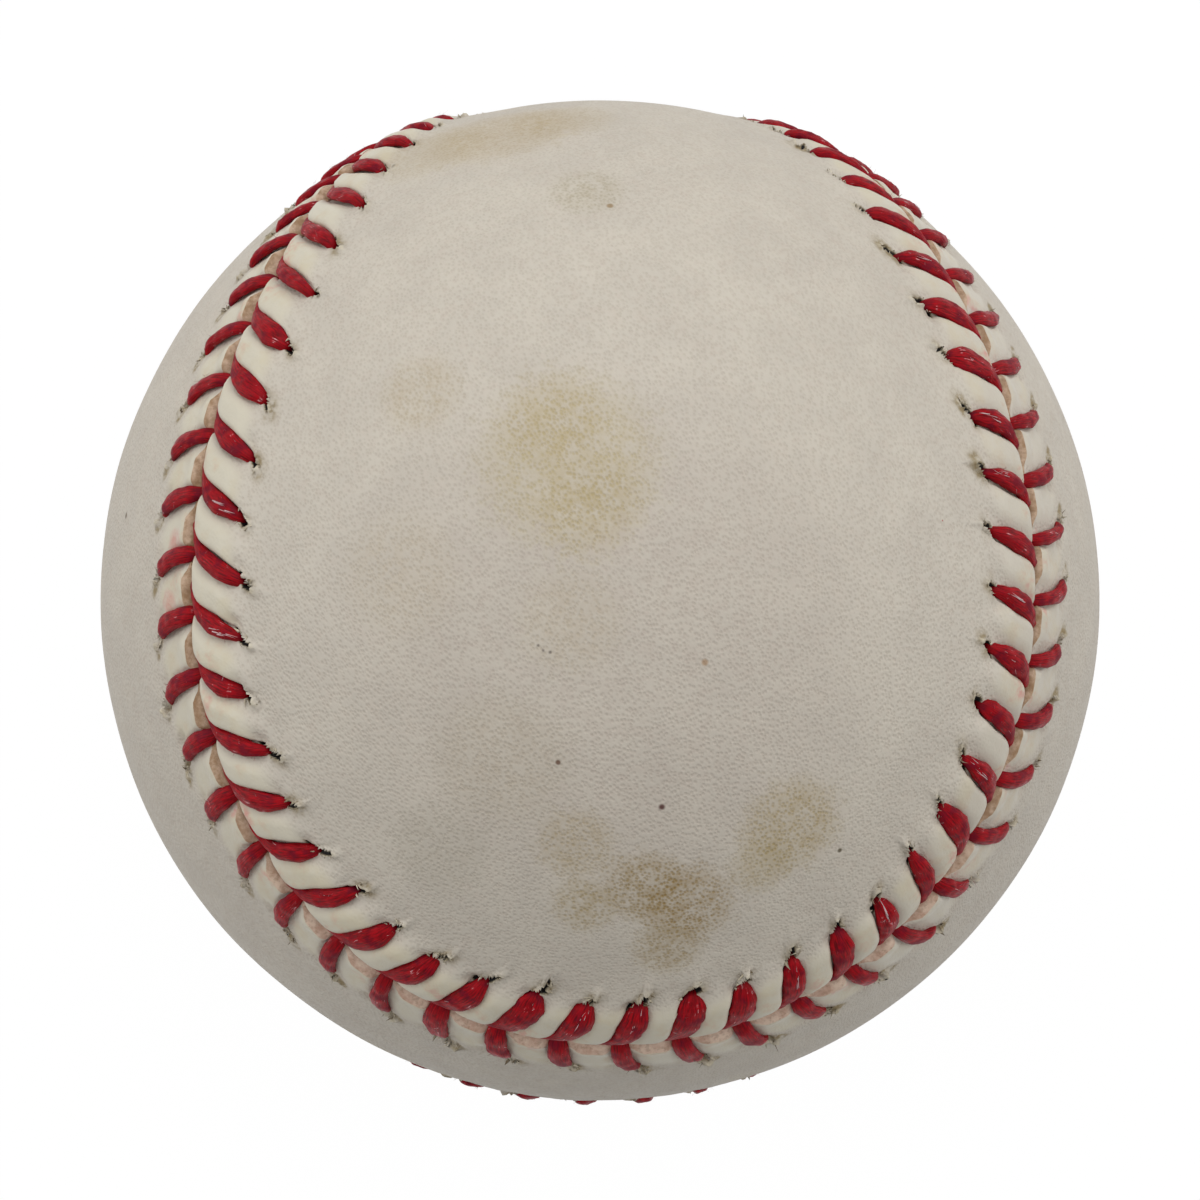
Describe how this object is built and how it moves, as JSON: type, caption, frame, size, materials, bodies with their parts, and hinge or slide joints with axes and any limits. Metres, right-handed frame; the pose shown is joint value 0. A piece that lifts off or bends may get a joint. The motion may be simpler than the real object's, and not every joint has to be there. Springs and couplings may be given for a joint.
{
  "type": "baseball",
  "caption": "Leather-covered ball with a raised red laced seam where its figure-8 panels meet, over yarn windings and a cork and rubber core.",
  "frame": {"origin": "centre of the ball", "axes": "+Z leaves through the middle of one lobe of panel A and -Z through its other lobe, +X and -X leave through the lobes of panel B, and Y is the twofold axis of the seam, with panel A's waist at +Y and panel B's waist at -Y"},
  "size_m": [0.0736, 0.0736, 0.0736],
  "materials": {
    "cork": "composition cork, matte granules in a rubber binder",
    "black_rubber": "moulded, matte black",
    "red_washer_rubber": "cut sheet, matte red",
    "red_rubber": "moulded, satin red",
    "gray_wool": "tightly wound wool yarn",
    "white_wool": "tightly wound wool yarn",
    "finish_cotton": "fine poly-cotton finishing yarn",
    "cement": "dried rubber cement",
    "cover_leather": "alum-tanned white leather, fine pebble grain, handled and lightly stained",
    "red_thread": "waxed cotton, twisted strands"
  },
  "bodies": {
    "root": {"cork_nucleus": "cork", "black_rubber_shell_upper": "black_rubber", "black_rubber_shell_lower": "black_rubber", "red_rubber_washer": "red_washer_rubber", "red_rubber_layer": "red_rubber", "winding_gray_inner": "gray_wool", "winding_white": "white_wool", "winding_gray_outer": "gray_wool", "winding_finish": "finish_cotton", "cement_coat": "cement", "cover_panel_a": "cover_leather", "cover_panel_b": "cover_leather", "thread_strand_a": "red_thread", "thread_strand_b": "red_thread"}
  },
  "joints": []
}
